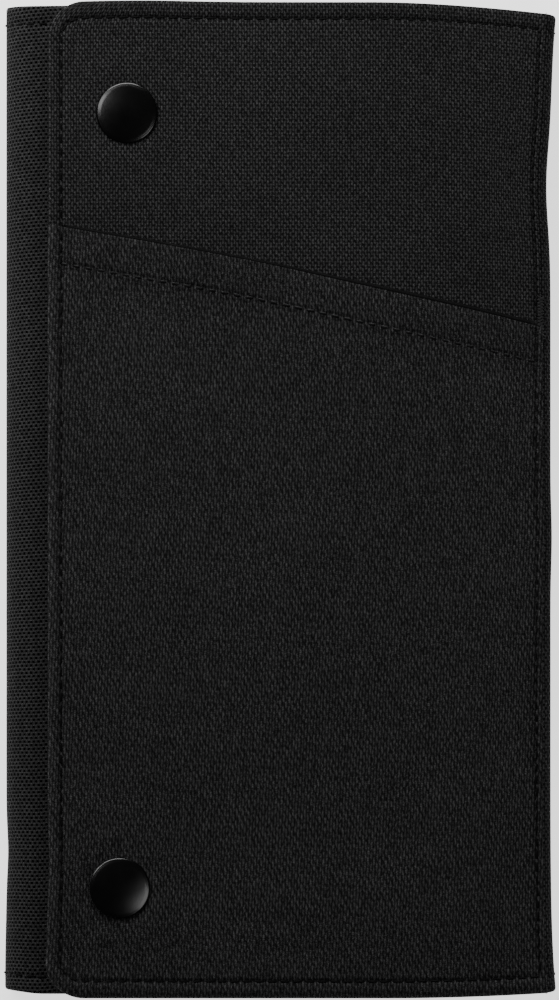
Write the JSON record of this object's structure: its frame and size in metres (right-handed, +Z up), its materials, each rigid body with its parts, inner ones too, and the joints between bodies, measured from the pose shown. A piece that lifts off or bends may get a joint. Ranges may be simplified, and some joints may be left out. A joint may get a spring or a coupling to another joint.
{
  "type": "passport holder wallet",
  "caption": "Slim fabric travel wallet that opens like a book, with a slanted front pocket, a side flap and press snaps, and pockets for passport and cards inside.",
  "frame": {"origin": "middle of the back cover's outer face, which the closed wallet lies on", "axes": "+Z up through the front cover, +Y along the long side towards the upper snap, +X towards the spine"},
  "size_m": [0.13, 0.235, 0.02],
  "materials": {
    "outer_fabric": "black woven polyester, plain weave with a faint sheen",
    "lining_fabric": "black fine taffeta",
    "pocket_fabric": "black fine woven nylon",
    "stiffener": "grey board",
    "elastic": "black ribbed elastic",
    "snap_cap": "glossy black lacquer over a pressed dome",
    "snap_metal": "black nickel, bright",
    "spring_wire": "drawn spring wire",
    "zip_tape": "black woven tape",
    "zip_teeth": "black nylon coil",
    "zip_metal": "black lacquered die-cast zinc"
  },
  "bodies": {
    "back_cover": {"back_outer_panel": "outer_fabric", "back_board": "stiffener", "back_lining": "lining_fabric", "passport_pocket_gusset": "pocket_fabric", "passport_pocket_panel": "pocket_fabric", "coin_pocket_panel": "pocket_fabric", "zip_tape_left": "zip_tape", "zip_tape_right": "zip_tape", "zip_teeth_left": "zip_teeth", "zip_teeth_right": "zip_teeth", "zip_top_stop": "zip_metal", "zip_bottom_stop": "zip_metal"},
    "spine": {"spine_outer_panel": "outer_fabric", "spine_lining": "lining_fabric", "pen_loop": "elastic"},
    "front_cover": {"front_outer_panel": "outer_fabric", "front_board": "stiffener", "front_lining": "lining_fabric", "slash_pocket_panel": "outer_fabric", "slash_pocket_hem": "outer_fabric", "card_pocket_1": "pocket_fabric", "card_pocket_2": "pocket_fabric", "card_pocket_3": "pocket_fabric", "ticket_pocket_panel": "pocket_fabric", "upper_snap_cap": "snap_cap", "upper_snap_socket": "snap_metal", "upper_snap_spring": "spring_wire", "lower_snap_cap": "snap_cap", "lower_snap_socket": "snap_metal", "lower_snap_spring": "spring_wire"},
    "flap_side": {"flap_side_outer_panel": "outer_fabric", "flap_side_lining": "lining_fabric"},
    "flap": {"flap_outer_panel": "outer_fabric", "flap_board": "stiffener", "flap_lining": "lining_fabric", "upper_snap_stud": "snap_metal", "upper_snap_eyelet": "snap_metal", "lower_snap_stud": "snap_metal", "lower_snap_eyelet": "snap_metal"},
    "zip_slider": {"zip_slider": "zip_metal"},
    "zip_pull": {"zip_pull": "zip_metal"}
  },
  "joints": [
    {"name": "spine_fold", "type": "hinge", "parent": "back_cover", "child": "spine", "pos_m": [0.0644, 0, 0.0006], "axis": [0, 1, 0], "range_deg": [0, 90]},
    {"name": "cover_fold", "type": "hinge", "parent": "spine", "child": "front_cover", "pos_m": [0.0644, 0, 0.0181], "axis": [0, 1, 0], "range_deg": [0, 89]},
    {"name": "flap_side_fold", "type": "hinge", "parent": "back_cover", "child": "flap_side", "pos_m": [-0.0644, 0, 0.0006], "axis": [0, -1, 0], "range_deg": [0, 89]},
    {"name": "flap_fold", "type": "hinge", "parent": "flap_side", "child": "flap", "pos_m": [-0.0644, 0, 0.0108], "axis": [0, -1, 0], "range_deg": [0, 81.88]},
    {"name": "zip_slide", "type": "slide", "parent": "back_cover", "child": "zip_slider", "axis": [0, -1, 0], "range_m": [0, 0.072]},
    {"name": "pull_swing", "type": "hinge", "parent": "zip_slider", "child": "zip_pull", "pos_m": [0.038, 0.1, 0.0077], "axis": [-1, 0, 0], "range_deg": [0, 32]}
  ],
  "couplings": [
    {"joint": "flap_side_fold", "follows": "cover_fold", "ratio": 1},
    {"joint": "flap_fold", "follows": "cover_fold", "ratio": 0.92}
  ]
}
